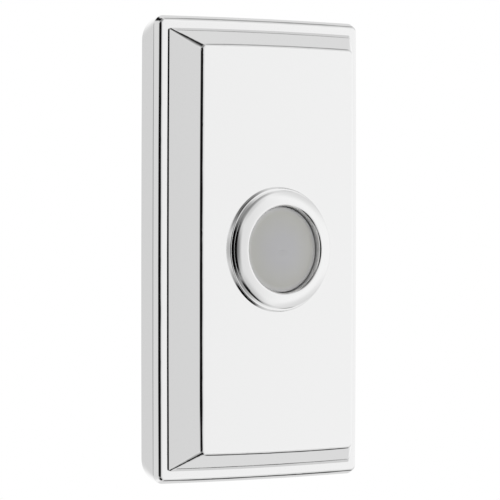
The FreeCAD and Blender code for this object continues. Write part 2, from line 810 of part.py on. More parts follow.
def terminal_base():
    """Moulded base: a cup for the barrel, contacts and spring in front, terminals behind."""
    body = new_body("terminal_base")
    profile = sketch_on(body, "base_profile", "XZ_Plane")
    outline(
        profile,
        [
            ("0", BASE_BACK),
            (BASE_RADIUS, BASE_BACK),
            (BASE_RADIUS, f"{SEAT_HEIGHT} + rim_lip"),
            (RIM_BORE, f"{SEAT_HEIGHT} + rim_lip"),
            (RIM_BORE, SEAT_HEIGHT),
            (BORE, SEAT_HEIGHT),
            (BORE, FLOOR_HEIGHT),
            ("lamp_seat_radius", FLOOR_HEIGHT),
            ("lamp_seat_radius", LAMP_SEAT),
            ("0", LAMP_SEAT),
        ],
    )
    revolve(body, profile)
    for name, side in (("upper", ""), ("lower", "-")):
        base_ear(body, name, side)
    for name, side in (("left", "-"), ("right", "")):
        screw_hole = sketch_on(body, f"base_screw_hole_{name}", offset=BASE_BACK)
        radius = "terminal_thread + screw_hole_clearance"
        circle(screw_hole, radius, f"{side}terminal_offset", "0")
        pocket(body, screw_hole, "base_floor", backwards=True)
        lead_hole = sketch_on(body, f"base_lead_hole_{name}", offset=BASE_BACK)
        circle(lead_hole, "lead_radius + groove_clearance", f"{side}lead_offset", "0")
        pocket(body, lead_hole, f"{LAMP_SEAT} - {BASE_BACK}", backwards=True)
    base_grooves(body)
    return body


def base_ear(body, name, side):
    """One ear of the base, up to the cover's boss, with its screw hole."""
    inner = f"{side}({BASE_RADIUS} - ear_root)"
    tip = f"{side}{BOSS_OFFSET}"
    turn = -1 if side == "" else 1
    ear = sketch_on(body, f"base_ear_{name}", offset=EAR_BACK)
    outline(
        ear,
        [
            ("-boss_radius", inner),
            ("-boss_radius", tip, "boss_radius", turn),
            ("0", f"{tip} + {side}boss_radius", "boss_radius", turn),
            ("boss_radius", tip),
            ("boss_radius", inner),
        ],
    )
    pad(body, ear, "ear_thickness")
    hole = sketch_on(body, f"base_ear_hole_{name}", offset=EAR_BACK)
    circle(hole, "base_screw_thread + screw_hole_clearance", "0", tip)
    pocket(body, hole, "ear_thickness", backwards=True)


def base_grooves(body):
    """Grooves in the base's back for the leads, and the pocket for the resistor."""
    half = "(lead_radius + groove_clearance)"
    wide = "(resistor_cap_radius + groove_clearance)"
    clamp_edge = f"terminal_offset - {CLAMP_LEAD_END}"
    left, terminal, middle = "(-lead_offset)", "(-terminal_offset)", "0"
    # Each groove is a run between two points, opened out all round by its half width
    grooves = (
        ("right", "lead_offset", clamp_edge, middle, middle, half),
        ("lamp", left, left, middle, "resistor_start", half),
        ("up", left, left, RESISTOR_END, LEAD_TURN, half),
        ("across", terminal, left, LEAD_TURN, LEAD_TURN, half),
        ("down", terminal, terminal, f"{CLAMP_LEAD_END} + lead_radius", LEAD_TURN, half),
        ("resistor", left, left, f"resistor_start + {wide}", f"{RESISTOR_END} - {wide}", wide),
    )
    for name, x_low, x_high, y_low, y_high, reach in grooves:
        groove = sketch_on(body, f"base_groove_{name}", offset=BASE_BACK)
        rectangle(
            groove,
            f"{x_low} - {reach}",
            f"{x_high} + {reach}",
            f"{y_low} - {reach}",
            f"{y_high} + {reach}",
        )
        pocket(body, groove, f"lead_depth + {reach}", backwards=True)


def fixed_contact(name, side):
    """Brass contact on the base's floor with a tapped hole for its terminal screw."""
    body = new_body(f"fixed_contact_{name}")
    strip = sketch_on(body, f"contact_strip_{name}", offset=FLOOR_HEIGHT)
    reach = f"{side}sqrt({CONTACT_RADIUS}^2 - contact_half_width^2)"
    half = "contact_half_width"
    inner = f"{side}contact_inner"
    turn = 1 if side == "" else -1
    outline(
        strip,
        [
            (inner, f"-{half}"),
            (reach, f"-{half}", CONTACT_RADIUS, turn),
            (reach, half),
            (inner, half),
        ],
    )
    circle(strip, "terminal_thread + thread_clearance", f"{side}terminal_offset", "0")
    pad(body, strip, "contact_thickness")
    return body


def slotted_screw(name, place, head_back, thread, head, length):
    """Pan-head screw driven from behind, its head towards the wall."""
    body = new_body(name)
    profile = sketch_on(body, f"{name}_profile", "XZ_Plane")
    head_radius, head_height = head
    under = f"{head_back} + {head_height}"
    outline(
        profile,
        [
            ("0", head_back),
            (head_radius, head_back),
            (head_radius, under),
            (thread, under),
            (thread, f"{under} + {length}"),
            ("0", f"{under} + {length}"),
        ],
    )
    revolve(body, profile)
    edge = rim_edges(body.Tip.Shape, value(head_radius), value(head_back))
    round_edges(body, edge, f"{head_height} / 3")
    slot = sketch_on(body, f"{name}_slot", offset=head_back)
    rectangle(slot, "-slot_width / 2", "slot_width / 2", f"-{head_radius}", head_radius)
    pocket(body, slot, "slot_depth", backwards=True)
    x, y = place
    return body, FreeCAD.Vector(value(x), value(y), 0)


def terminal_screw(name, side):
    """Terminal screw through the clamp and the base into the fixed contact."""
    head_back = f"({CLAMP_BACK} - terminal_head_height)"
    length = f"{CONTACT_TOP} - terminal_end_gap - {CLAMP_BACK}"
    head = ("terminal_head_radius", "terminal_head_height")
    place = (f"{side}terminal_offset", "0")
    return slotted_screw(
        f"terminal_screw_{name}", place, head_back, "terminal_thread", head, length
    )


def base_screw(name, side):
    """Screw through an ear of the base into the cover's boss."""
    head_back = f"({EAR_BACK} - base_screw_head_height)"
    head = ("base_screw_head_radius", "base_screw_head_height")
    length = "ear_thickness + boss_hole_depth - base_screw_end_gap"
    place = ("0", f"{side}{BOSS_OFFSET}")
    return slotted_screw(
        f"base_screw_{name}", place, head_back, "base_screw_thread", head, length
    )


def terminal_clamp(name, side):
    """Square clamp under a terminal screw's head, with its four corners rounded."""
    body = new_body(f"terminal_clamp_{name}")
    half = "clamp_width / 2"
    plate = sketch_on(body, f"clamp_plate_{name}", offset=CLAMP_BACK)
    rounded_rectangle(plate, half, half, "clamp_thickness")
    circle(plate, "terminal_thread + screw_hole_clearance")
    pad(body, plate, "clamp_thickness")
    return body, FreeCAD.Vector(value(f"{side}terminal_offset"), 0, 0)


def led_lamp():
    """Round lamp with a flange and a domed end, on the base's lamp seat."""
    body = new_body("led_lamp")
    profile = sketch_on(body, "lamp_profile", "XZ_Plane")
    flange = f"{LAMP_SEAT} + lamp_flange_height"
    tip = f"{LAMP_SEAT} + lamp_length"
    outline(
        profile,
        [
            ("0", LAMP_SEAT),
            ("lamp_flange_radius", LAMP_SEAT),
            ("lamp_flange_radius", flange),
            ("lamp_radius", flange),
            ("lamp_radius", f"{tip} - lamp_radius", "lamp_radius", 1),
            ("0", tip),
        ],
    )
    revolve(body, profile)
    return body


def lead(name, role, offset, path, section_role, section_offset, section_place):
    """A lead: a round wire along a flat path of straight runs and bends."""
    body = new_body(name)
    route = sketch_on(body, f"{name}_route", role, offset)
    outline(route, path, closed=False)
    section = sketch_on(body, f"{name}_section", section_role, section_offset)
    circle(section, "lead_radius", *section_place)
    doc.recompute()
    wire = body.newObject("PartDesign::AdditivePipe", f"{name}_wire")
    wire.Profile = section
    wire.Spine = route
    doc.recompute()
    return body


def lamp_leads():
    """The lamp's two leads: down through the base, then bent along its back."""
    top = LAMP_SEAT
    bend_top = f"{LEAD_HEIGHT} + lead_bend"
    right_path = [
        ("lead_offset", top),
        ("lead_offset", bend_top, "lead_bend", 1),
        ("lead_offset + lead_bend", LEAD_HEIGHT),
        (f"terminal_offset - {CLAMP_LEAD_END}", LEAD_HEIGHT),
    ]
    place = ("lead_offset", "0")
    right = lead("lamp_lead_right", "XZ_Plane", None, right_path, "XY_Plane", top, place)
    left_path = [
        ("0", top),
        ("0", bend_top, "lead_bend", 1),
        ("lead_bend", LEAD_HEIGHT),
        ("resistor_start", LEAD_HEIGHT),
    ]
    place = ("-lead_offset", "0")
    left = lead(
        "lamp_lead_left", "YZ_Plane", "-lead_offset", left_path, "XY_Plane", top, place
    )
    return right, left


def ballast_resistor():
    """Small resistor with round end caps and a slimmer waist, lying along Y in its pocket."""
    body = new_body("ballast_resistor")
    profile = sketch_on(body, "resistor_profile", "XZ_Plane")
    cap, waist = "resistor_cap_radius", "resistor_waist_radius"
    far_cap = "resistor_length - resistor_cap_length"
    outline(
        profile,
        [
            ("0", "0"),
            (cap, "0"),
            (cap, "resistor_cap_length"),
            (waist, "resistor_cap_length"),
            (waist, far_cap),
            (cap, far_cap),
            (cap, "resistor_length"),
            ("0", "resistor_length"),
        ],
    )
    revolve(body, profile)
    edges = rim_edges(body.Tip.Shape, value(cap), 0.0)
    edges += rim_edges(body.Tip.Shape, value(cap), value("resistor_length"))
    round_edges(body, edges, "resistor_cap_radius / 4")
    return body


def resistor_lead():
    """Lead from the resistor's far end round to the left terminal's clamp."""
    path = [
        ("-lead_offset", RESISTOR_END),
        ("-lead_offset", f"{LEAD_TURN} - lead_bend", "lead_bend", 1),
        ("-lead_offset - lead_bend", LEAD_TURN),
        ("-terminal_offset + lead_bend", LEAD_TURN, "lead_bend", 1),
        ("-terminal_offset", f"{LEAD_TURN} - lead_bend"),
        ("-terminal_offset", CLAMP_LEAD_END),
    ]
    place = ("-lead_offset", LEAD_HEIGHT)
    return lead(
        "resistor_lead", "XY_Plane", LEAD_HEIGHT, path, "XZ_Plane", f"-{RESISTOR_END}", place
    )


# Turns a piece drawn on its back so that its front faces -Y
STAND_UP = FreeCAD.Rotation(FreeCAD.Vector(1, 0, 0), 90)
# Lays a piece drawn along Z down along Y
LAY_ALONG_Y = FreeCAD.Rotation(FreeCAD.Vector(1, 0, 0), -90)


def stand(body, offset=FreeCAD.Vector(), turn=FreeCAD.Rotation()):
    """Moves a sub-part to its place on the button's axis and stands it up on the wall."""
    upright = FreeCAD.Placement(FreeCAD.Vector(), STAND_UP)
    body.Placement = upright.multiply(FreeCAD.Placement(offset, turn))
    return body


def build_all():
    """Every sub-part in its place."""
    parts = [stand(cover_plate()), stand(mounting_plate()), stand(set_screw())]
    parts += [stand(bezel_ring()), stand(lock_washer()), stand(ring_nut())]
    parts += [stand(button_lens()), stand(plunger()), stand(contact_bridge())]
    parts += [stand(return_spring()), stand(terminal_base())]
    for name, side in (("left", "-"), ("right", "")):
        parts.append(stand(fixed_contact(name, side)))
        parts.append(stand(*terminal_screw(name, side)))
        parts.append(stand(*terminal_clamp(name, side)))
    for name, side in (("upper", ""), ("lower", "-")):
        parts.append(stand(*base_screw(name, side)))
    parts.append(stand(led_lamp()))
    parts += [stand(item) for item in lamp_leads()]
    middle = FreeCAD.Vector(value("-lead_offset"), value("resistor_start"), value(LEAD_HEIGHT))
    parts.append(stand(ballast_resistor(), middle, LAY_ALONG_Y))
    parts.append(stand(resistor_lead()))
    return parts


def check(parts):
    """Stops if any object failed, or a sub-part isn't one sound solid."""
    doc.recompute()
    for item in doc.Objects:
        if {"Invalid", "Error"} & set(item.State):
            raise ValueError(f"{item.Name} failed: {item.State}")
    for part in parts:
        shape = part.Shape
        if shape.isNull() or not shape.isValid() or len(shape.Solids) != 1:
            raise ValueError(f"{part.Label} isn't one sound solid")


PARTS = build_all()
check(PARTS)
os.makedirs("parts", exist_ok=True)
for sub_part in PARTS:
    sub_part.Shape.exportStep(f"parts/{sub_part.Label}.step")
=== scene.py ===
"""Dresses the doorbell push button and sets it in a light tent, seen as in the photograph."""
import logging
import math
from dataclasses import dataclass, field
from enum import Enum
from functools import cache
from typing import Optional

import bmesh
import bpy
from mathutils import Matrix, Quaternion, Vector


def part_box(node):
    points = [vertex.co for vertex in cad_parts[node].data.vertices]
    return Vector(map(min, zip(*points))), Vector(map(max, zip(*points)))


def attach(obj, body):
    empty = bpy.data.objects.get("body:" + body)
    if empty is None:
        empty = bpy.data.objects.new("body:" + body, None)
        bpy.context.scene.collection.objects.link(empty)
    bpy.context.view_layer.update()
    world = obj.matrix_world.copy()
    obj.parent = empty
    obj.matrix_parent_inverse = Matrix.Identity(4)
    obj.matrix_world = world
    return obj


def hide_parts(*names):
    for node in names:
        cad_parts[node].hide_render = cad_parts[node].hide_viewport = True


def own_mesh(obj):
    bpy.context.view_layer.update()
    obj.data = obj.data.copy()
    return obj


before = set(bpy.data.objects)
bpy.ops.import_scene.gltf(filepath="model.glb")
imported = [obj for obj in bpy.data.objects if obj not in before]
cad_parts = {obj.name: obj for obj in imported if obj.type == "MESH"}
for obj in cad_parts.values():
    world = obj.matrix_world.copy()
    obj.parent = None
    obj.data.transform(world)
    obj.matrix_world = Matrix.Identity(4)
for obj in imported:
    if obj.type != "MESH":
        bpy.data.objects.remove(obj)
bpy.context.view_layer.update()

LOG = logging.getLogger("doorbell")

MM = 0.001

# Blender's noise keeps mostly to this range, which each use turns to a range of its own.
NOISE_RANGE = {"From Min": 0.3, "From Max": 0.7}

# A Mix node's inputs and output go by number, because their names repeat for each kind of data.
SHARE, FIRST, SECOND = 0, 2, 3
FIRST_COLOUR, SECOND_COLOUR, MIXED_COLOUR = 6, 7, 2


def linear(colour: str) -> tuple[float, float, float, float]:
    """Turns an sRGB hex colour to the linear colour that a shader reads.

    Args:
        colour: The colour as "#rrggbb".

    Returns:
        Linear red, green and blue, and an alpha of 1.
    """
    channels = [int(colour[i : i + 2], 16) / 255 for i in (1, 3, 5)]
    red, green, blue = (
        c / 12.92 if c <= 0.04045 else ((c + 0.055) / 1.055) ** 2.4 for c in channels
    )
    return red, green, blue, 1.0


def add_node(
    tree: bpy.types.NodeTree,
    kind: str,
    settings: Optional[dict] = None,
    links: Optional[dict] = None,
) -> bpy.types.Node:
    """Adds a node with its settings and links.

    Args:
        tree: The node tree that gets it.
        kind: The node's type, such as "ShaderNodeMath".
        settings: Values by the name of a property, or the name or number of an input.
        links: What to read from, by the name or number of an input: a socket, or a node for
            its first output.

    Returns:
        The new node.
    """
    node = tree.nodes.new(kind)
    for name, value in (settings or {}).items():
        if isinstance(name, str) and hasattr(node, name):
            setattr(node, name, value)
        else:
            node.inputs[name].default_value = value
    for name, source in (links or {}).items():
        socket = source.outputs[0] if isinstance(source, bpy.types.Node) else source
        tree.links.new(socket, node.inputs[name])
    return node


def empty_material(name: str) -> bpy.types.Material:
    """Makes a material that has no nodes yet.

    Args:
        name: The material's name.

    Returns:
        The material.
    """
    made = bpy.data.materials.new(name)
    made.use_nodes = True
    made.node_tree.nodes.clear()
    return made


def add_object(
    name: str, shape: bmesh.types.BMesh, material: bpy.types.Material
) -> bpy.types.Object:
    """Puts a finished shape in the scene.

    Args:
        name: The new object's name.
        shape: Its shape, which is freed.
        material: Its material.

    Returns:
        The object.
    """
    mesh = bpy.data.meshes.new(name)
    shape.to_mesh(mesh)
    shape.free()
    mesh.materials.append(material)
    made = bpy.data.objects.new(name, mesh)
    bpy.context.scene.collection.objects.link(made)
    return made


@dataclass(frozen=True, kw_only=True)
class Finish:
    """A surface finish that makes its own material."""

    name: str
    colour: str
    roughness: float
    unevenness: float

    @cache
    def material(self) -> bpy.types.Material:
        """Makes the material, once for all the pieces that share the finish.

        Returns:
            A material with the finish's shader on its output.
        """
        made = empty_material(self.name)
        shader = self.shade(made.node_tree)
        add_node(made.node_tree, "ShaderNodeOutputMaterial", links={"Surface": shader})
        return made

    def shade(self, tree: bpy.types.NodeTree) -> bpy.types.Node:
        """Adds the finish's shader.

        Args:
            tree: The material's node tree.

        Returns:
            The shader node.
        """
        raise NotImplementedError

    def noise(
        self,
        tree: bpy.types.NodeTree,
        size_mm: float,
        detail: float = 2.0,
        stretch: tuple[float, float, float] = (1.0, 1.0, 1.0),
    ) -> bpy.types.Node:
        """Adds a noise pattern of a real size, fixed to the piece.

        Args:
            tree: The material's node tree.
            size_mm: How far apart its features are.
            detail: How many finer layers it has.
            stretch: What each coordinate is multiplied by: below 1 draws the pattern out.

        Returns:
            The pattern, a node whose first output goes from 0 to 1.
        """
        place = add_node(tree, "ShaderNodeTexCoord").outputs["Object"]
        drawn = add_node(
            tree, "ShaderNodeVectorMath", {"operation": "MULTIPLY", 1: stretch}, {0: place}
        )
        settings = {"Scale": 1.0 / (size_mm * MM), "Detail": detail}
        return add_node(tree, "ShaderNodeTexNoise", settings, {"Vector": drawn})

    def gloss(self, tree: bpy.types.NodeTree, pattern: bpy.types.Node) -> bpy.types.Node:
        """Adds the roughness, which rises with a pattern.

        Args:
            tree: The material's node tree.
            pattern: The pattern.

        Returns:
            A node whose output goes from the finish's roughness up by its unevenness.
        """
        limits = {"To Min": self.roughness, "To Max": self.roughness + self.unevenness}
        return add_node(tree, "ShaderNodeMapRange", NOISE_RANGE | limits, {"Value": pattern})

    def two_tone(
        self, tree: bpy.types.NodeTree, pattern: bpy.types.Node, first: str, second: str
    ) -> bpy.types.NodeSocket:
        """Adds a colour that goes between two tones with a pattern.

        Args:
            tree: The material's node tree.
            pattern: The pattern.
            first: The tone where the pattern is low, as "#rrggbb".
            second: The tone where it is high.

        Returns:
            The colour's socket.
        """
        share = add_node(tree, "ShaderNodeMapRange", NOISE_RANGE, {"Value": pattern})
        tones = {FIRST_COLOUR: linear(first), SECOND_COLOUR: linear(second)}
        mix = add_node(tree, "ShaderNodeMix", {"data_type": "RGBA", **tones}, {SHARE: share})
        return mix.outputs[MIXED_COLOUR]

    def reach(self, tree: bpy.types.NodeTree) -> bpy.types.NodeSocket:
        """Adds the distance from the button's axis.

        Args:
            tree: The material's node tree.

        Returns:
            The distance's socket, in metres.
        """
        place = add_node(tree, "ShaderNodeTexCoord").outputs["Object"]
        across = add_node(
            tree, "ShaderNodeVectorMath", {"operation": "MULTIPLY", 1: (1.0, 0.0, 1.0)}, {0: place}
        )
        length = add_node(tree, "ShaderNodeVectorMath", {"operation": "LENGTH"}, {0: across})
        return length.outputs["Value"]


@dataclass(frozen=True, kw_only=True)
class PolishedChrome(Finish):
    """Bright chromium plate on brass, buffed where the wheel could reach.

    It gives the eye a clean mirror, with a breath of haze and the slow waves that a buffing
    wheel leaves.
    """

    colour: str = "#f2f2f2"
    roughness: float = 0.03
    unevenness: float = 0.03
    haze_mm: float = 7.0
    wave_mm: float = 16.0
    wave_depth_mm: float = 0.012

    def plate(
        self,
        tree: bpy.types.NodeTree,
        rough: bpy.types.Node,
        roughness: float,
        texture: bpy.types.Node,
        depth_mm: float,
    ) -> bpy.types.Node:
        """Adds a mirror metal that keeps its first surface where it wasn't buffed.

        Args:
            tree: The material's node tree.
            rough: Where it wasn't buffed: 1 there, and 0 on the mirror.
            roughness: How rough it is there.
            texture: The pattern of its surface there.
            depth_mm: How deep that pattern is.

        Returns:
            The shader node.
        """
        haze = self.gloss(tree, self.noise(tree, self.haze_mm))
        gloss = add_node(tree, "ShaderNodeMix", {SECOND: roughness}, {SHARE: rough, FIRST: haze})
        waves = add_node(
            tree,
            "ShaderNodeBump",
            {"Distance": self.wave_depth_mm * MM},
            {"Height": self.noise(tree, self.wave_mm, detail=0.0)},
        )
        relief = add_node(
            tree,
            "ShaderNodeBump",
            {"Distance": depth_mm * MM},
            {"Strength": rough, "Height": texture, "Normal": waves},
        )
        return add_node(
            tree,
            "ShaderNodeBsdfPrincipled",
            {"Base Color": linear(self.colour), "Metallic": 1.0},
            {"Roughness": gloss, "Normal": relief},
        )


@dataclass(frozen=True, kw_only=True)
class ChromedCasting(PolishedChrome):
    """The cover's chromium plate: buffed bright in front, over the raw casting behind.

    It gives the eye the mirror outside, and inside the grey, grainy skin of sand-cast brass
    that the plating only thinly covers.
    """

    name: str = "chromed_brass_casting"
    raw: str = "#9f9a8d"
    raw_dark: str = "#837c6e"
    raw_roughness: float = 0.5
    grain_mm: float = 0.6
    grain_depth_mm: float = 0.05
    crease_inset_mm: float = 2.77
    face_inset_mm: float = 6.72
    ledge_height_mm: float = 5.5
    face_height_mm: float = 11.9
    wall_mm: float = 0.6
    edge_mm: float = 1.7
    facing_wall: float = 0.5

    def behind(self, tree: bpy.types.NodeTree) -> bpy.types.Node:
        """Finds the faces behind the cover's front.

        Args:
            tree: The material's node tree.

        Returns:
            A node that is 1 on the casting's inside and on its back edge, and 0 in front.
        """
        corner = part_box("cover_plate")[1]
        place = add_node(tree, "ShaderNodeTexCoord").outputs["Object"]
        folded = add_node(tree, "ShaderNodeVectorMath", {"operation": "ABSOLUTE"}, {0: place})
        # The button is in front of the wall, at a negative Y, so the middle output is that Y.
        side, y, end = add_node(
            tree,
            "ShaderNodeSeparateXYZ",
            links={
                "Vector": add_node(
                    tree,
                    "ShaderNodeVectorMath",
                    {"operation": "SUBTRACT", 0: (corner[0], 0.0, corner[2])},
                    {1: folded},
                )
            },
        ).outputs
        inset = add_node(tree, "ShaderNodeMath", {"operation": "MINIMUM"}, {0: side, 1: end})
        profile = {
            "From Min": self.crease_inset_mm * MM,
            "From Max": self.face_inset_mm * MM,
            "To Min": self.ledge_height_mm * MM,
            "To Max": self.face_height_mm * MM,
        }
        front = add_node(tree, "ShaderNodeMapRange", profile, {"Value": inset})
        depth = add_node(tree, "ShaderNodeMath", {"operation": "ADD"}, {0: front, 1: y})
        deep, within = (
            add_node(
                tree, "ShaderNodeMath", {"operation": "GREATER_THAN", 1: least * MM}, {0: measure}
            )
            for measure, least in ((depth, self.wall_mm), (inset, self.edge_mm))
        )
        inside = add_node(tree, "ShaderNodeMath", {"operation": "MULTIPLY"}, {0: deep, 1: within})
        normal = add_node(tree, "ShaderNodeNewGeometry").outputs["True Normal"]
        to_wall = add_node(tree, "ShaderNodeSeparateXYZ", links={"Vector": normal}).outputs["Y"]
        back = add_node(
            tree, "ShaderNodeMath", {"operation": "GREATER_THAN", 1: self.facing_wall}, {0: to_wall}
        )
        return add_node(tree, "ShaderNodeMath", {"operation": "MAXIMUM"}, {0: inside, 1: back})

    def shade(self, tree: bpy.types.NodeTree) -> bpy.types.Node:
        """Adds the mirror in front and the raw casting behind.

        Args:
            tree: The material's node tree.

        Returns:
            The shader node.
        """
        behind = self.behind(tree)
        grain = self.noise(tree, self.grain_mm, detail=4.0)
        colour = add_node(
            tree,
            "ShaderNodeMix",
            {"data_type": "RGBA", FIRST_COLOUR: linear(self.colour)},
            {SHARE: behind, SECOND_COLOUR: self.two_tone(tree, grain, self.raw, self.raw_dark)},
        ).outputs[MIXED_COLOUR]
        shader = self.plate(tree, behind, self.raw_roughness, grain, self.grain_depth_mm)
        tree.links.new(colour, shader.inputs["Base Color"])
        return shader


@dataclass(frozen=True, kw_only=True)
class TurnedBezel(PolishedChrome):
    """The ring's chromium plate: buffed in front, as turned in the bore and on the barrel.

    It gives the eye a mirror lip, and a satin bore and barrel with the tool's fine rings,
    which hold soft light round the button.
    """

    name: str = "chromed_turned_brass"
    turned_roughness: float = 0.16
    bore_radius_mm: float = 9.05
    front_mm: float = 11.9
    ring_mm: float = 0.12
    ring_depth_mm: float = 0.002

    def shade(self, tree: bpy.types.NodeTree) -> bpy.types.Node:
        """Adds the mirror lip, and the satin bore and barrel.

        Args:
            tree: The material's node tree.

        Returns:
            The shader node.
        """
        bore = add_node(
            tree,
            "ShaderNodeMath",
            {"operation": "LESS_THAN", 1: self.bore_radius_mm * MM},
            {0: self.reach(tree)},
        )
        place = add_node(tree, "ShaderNodeTexCoord").outputs["Object"]
        y = add_node(tree, "ShaderNodeSeparateXYZ", links={"Vector": place}).outputs["Y"]
        barrel = add_node(
            tree, "ShaderNodeMath", {"operation": "GREATER_THAN", 1: -self.front_mm * MM}, {0: y}
        )
        turned = add_node(tree, "ShaderNodeMath", {"operation": "MAXIMUM"}, {0: bore, 1: barrel})
        rings = self.noise(tree, self.ring_mm, stretch=(0.0, 1.0, 0.0))
        return self.plate(tree, turned, self.turned_roughness, rings, self.ring_depth_mm)


@dataclass(frozen=True, kw_only=True)
class WorkedMetal(Finish):
    """Rolled, turned or drawn metal, plated or bare.

    It gives the eye a satin sheen whose tone shifts with the plating's thickness, and fine
    lines along the way it was worked.
    """

    second: str
    unevenness: float = 0.16
    tone_mm: float
    line_mm: float = 0.35
    line_depth_mm: float = 0.008
    stretch: tuple[float, float, float] = (1.0, 1.0, 1.0)

    def shade(self, tree: bpy.types.NodeTree) -> bpy.types.Node:
        """Adds a satin metal.

        Args:
            tree: The material's node tree.

        Returns:
            The shader node.
        """
        tone = self.noise(tree, self.tone_mm, detail=3.0)
        lines = self.noise(tree, self.line_mm, detail=4.0, stretch=self.stretch)
        relief = add_node(
            tree, "ShaderNodeBump", {"Distance": self.line_depth_mm * MM}, {"Height": lines}
        )
        return add_node(
            tree,
            "ShaderNodeBsdfPrincipled",
            {"Metallic": 1.0},
            {
                "Base Color": self.two_tone(tree, tone, self.colour, self.second),
                "Roughness": self.gloss(tree, lines),
                "Normal": relief,
            },
        )


@dataclass(frozen=True, kw_only=True)
class MouldedPlastic(Finish):
    """Moulded plastic.

    It gives the eye the faint texture of its mould, and the fine specks of its filler.
    """

    second: str
    unevenness: float = 0.12
    speck_mm: float
    texture_depth_mm: float
    ior: float

    def shade(self, tree: bpy.types.NodeTree) -> bpy.types.Node:
        """Adds a plastic.

        Args:
            tree: The material's node tree.

        Returns:
            The shader node.
        """
        specks = self.noise(tree, self.speck_mm, detail=3.0)
        relief = add_node(
            tree, "ShaderNodeBump", {"Distance": self.texture_depth_mm * MM}, {"Height": specks}
        )
        return add_node(
            tree,
            "ShaderNodeBsdfPrincipled",
            {"IOR": self.ior},
            {
                "Base Color": self.two_tone(tree, specks, self.colour, self.second),
                "Roughness": self.gloss(tree, specks),
                "Normal": relief,
            },
        )


@dataclass(frozen=True, kw_only=True)
class OpalAcrylic(Finish):
    """Moulded opal acrylic, with its lamp unlit.

    Light sinks a little way in, so it looks soft and even, under a satin moulded skin. Towards
    the rounded edge its colour is painted up to white: a painted highlight that lifts the shade
    where the edge dips into the gap beside the bore.
    """

    name: str = "translucent_white_plastic"
    colour: str = "#e8e8ea"
    rim_colour: str = "#eaeae2"
    # Painted highlight: over the last edge_mm of the radius the colour is painted up to this white,
    # to lift the shade at the rounded edge.
    painted_edge_highlight_colour: str = "#ffffff"
    middle_radius_mm: float = 2.61
    radius_mm: float = 8.7
    edge_mm: float = 1.2
    roughness: float = 0.28
    unevenness: float = 0.08
    skin_mm: float = 0.5
    cloud_mm: float = 5.0
    thinnest_cloud: float = 0.75
    translucence: float = 0.6
    depth_mm: float = 0.8
    ior: float = 1.49

    def shade(self, tree: bpy.types.NodeTree) -> bpy.types.Node:
        """Adds a translucent plastic.

        Args:
            tree: The material's node tree.

        Returns:
            The shader node.
        """
        out = self.reach(tree)
        rim, painted_edge_highlight = (
            add_node(
                tree,
                "ShaderNodeMapRange",
                {"From Min": start_mm * MM, "From Max": self.radius_mm * MM},
                {"Value": out},
            )
            for start_mm in (self.middle_radius_mm, self.radius_mm - self.edge_mm)
        )
        cloud = add_node(
            tree,
            "ShaderNodeMapRange",
            NOISE_RANGE | {"To Min": self.thinnest_cloud},
            {"Value": self.noise(tree, self.cloud_mm)},
        )
        share = add_node(tree, "ShaderNodeMath", {"operation": "MULTIPLY"}, {0: rim, 1: cloud})
        tones = {FIRST_COLOUR: linear(self.colour), SECOND_COLOUR: linear(self.rim_colour)}
        body = add_node(tree, "ShaderNodeMix", {"data_type": "RGBA", **tones}, {SHARE: share})
        # Painted highlight: the colour turns white towards the rounded edge, standing in for light
        # that the gap beside the bore keeps from it.
        colour = add_node(
            tree,
            "ShaderNodeMix",
            {"data_type": "RGBA", SECOND_COLOUR: linear(self.painted_edge_highlight_colour)},
            {SHARE: painted_edge_highlight, FIRST_COLOUR: body.outputs[MIXED_COLOUR]},
        )
        return add_node(
            tree,
            "ShaderNodeBsdfPrincipled",
            {
                "IOR": self.ior,
                "Subsurface Weight": self.translucence,
                "Subsurface Radius": (1.0, 1.0, 1.0),
                "Subsurface Scale": self.depth_mm * MM,
            },
            {
                "Base Color": colour.outputs[MIXED_COLOUR],
                "Roughness": self.gloss(tree, self.noise(tree, self.skin_mm, detail=3.0)),
            },
        )


@dataclass(frozen=True, kw_only=True)
class ClearEpoxy(Finish):
    """Cast water-clear epoxy: a small glossy lens that bends what lies behind it."""

    name: str = "clear_epoxy"
    colour: str = "#f4f0e2"
    roughness: float = 0.06
    unevenness: float = 0.05
    flow_mm: float = 1.5
    clearness: float = 0.85
    ior: float = 1.54

    def shade(self, tree: bpy.types.NodeTree) -> bpy.types.Node:
        """Adds a clear plastic.

        Args:
            tree: The material's node tree.

        Returns:
            The shader node.
        """
        return add_node(
            tree,
            "ShaderNodeBsdfPrincipled",
            {
                "Base Color": linear(self.colour),
                "IOR": self.ior,
                "Transmission Weight": self.clearness,
            },
            {"Roughness": self.gloss(tree, self.noise(tree, self.flow_mm))},
        )


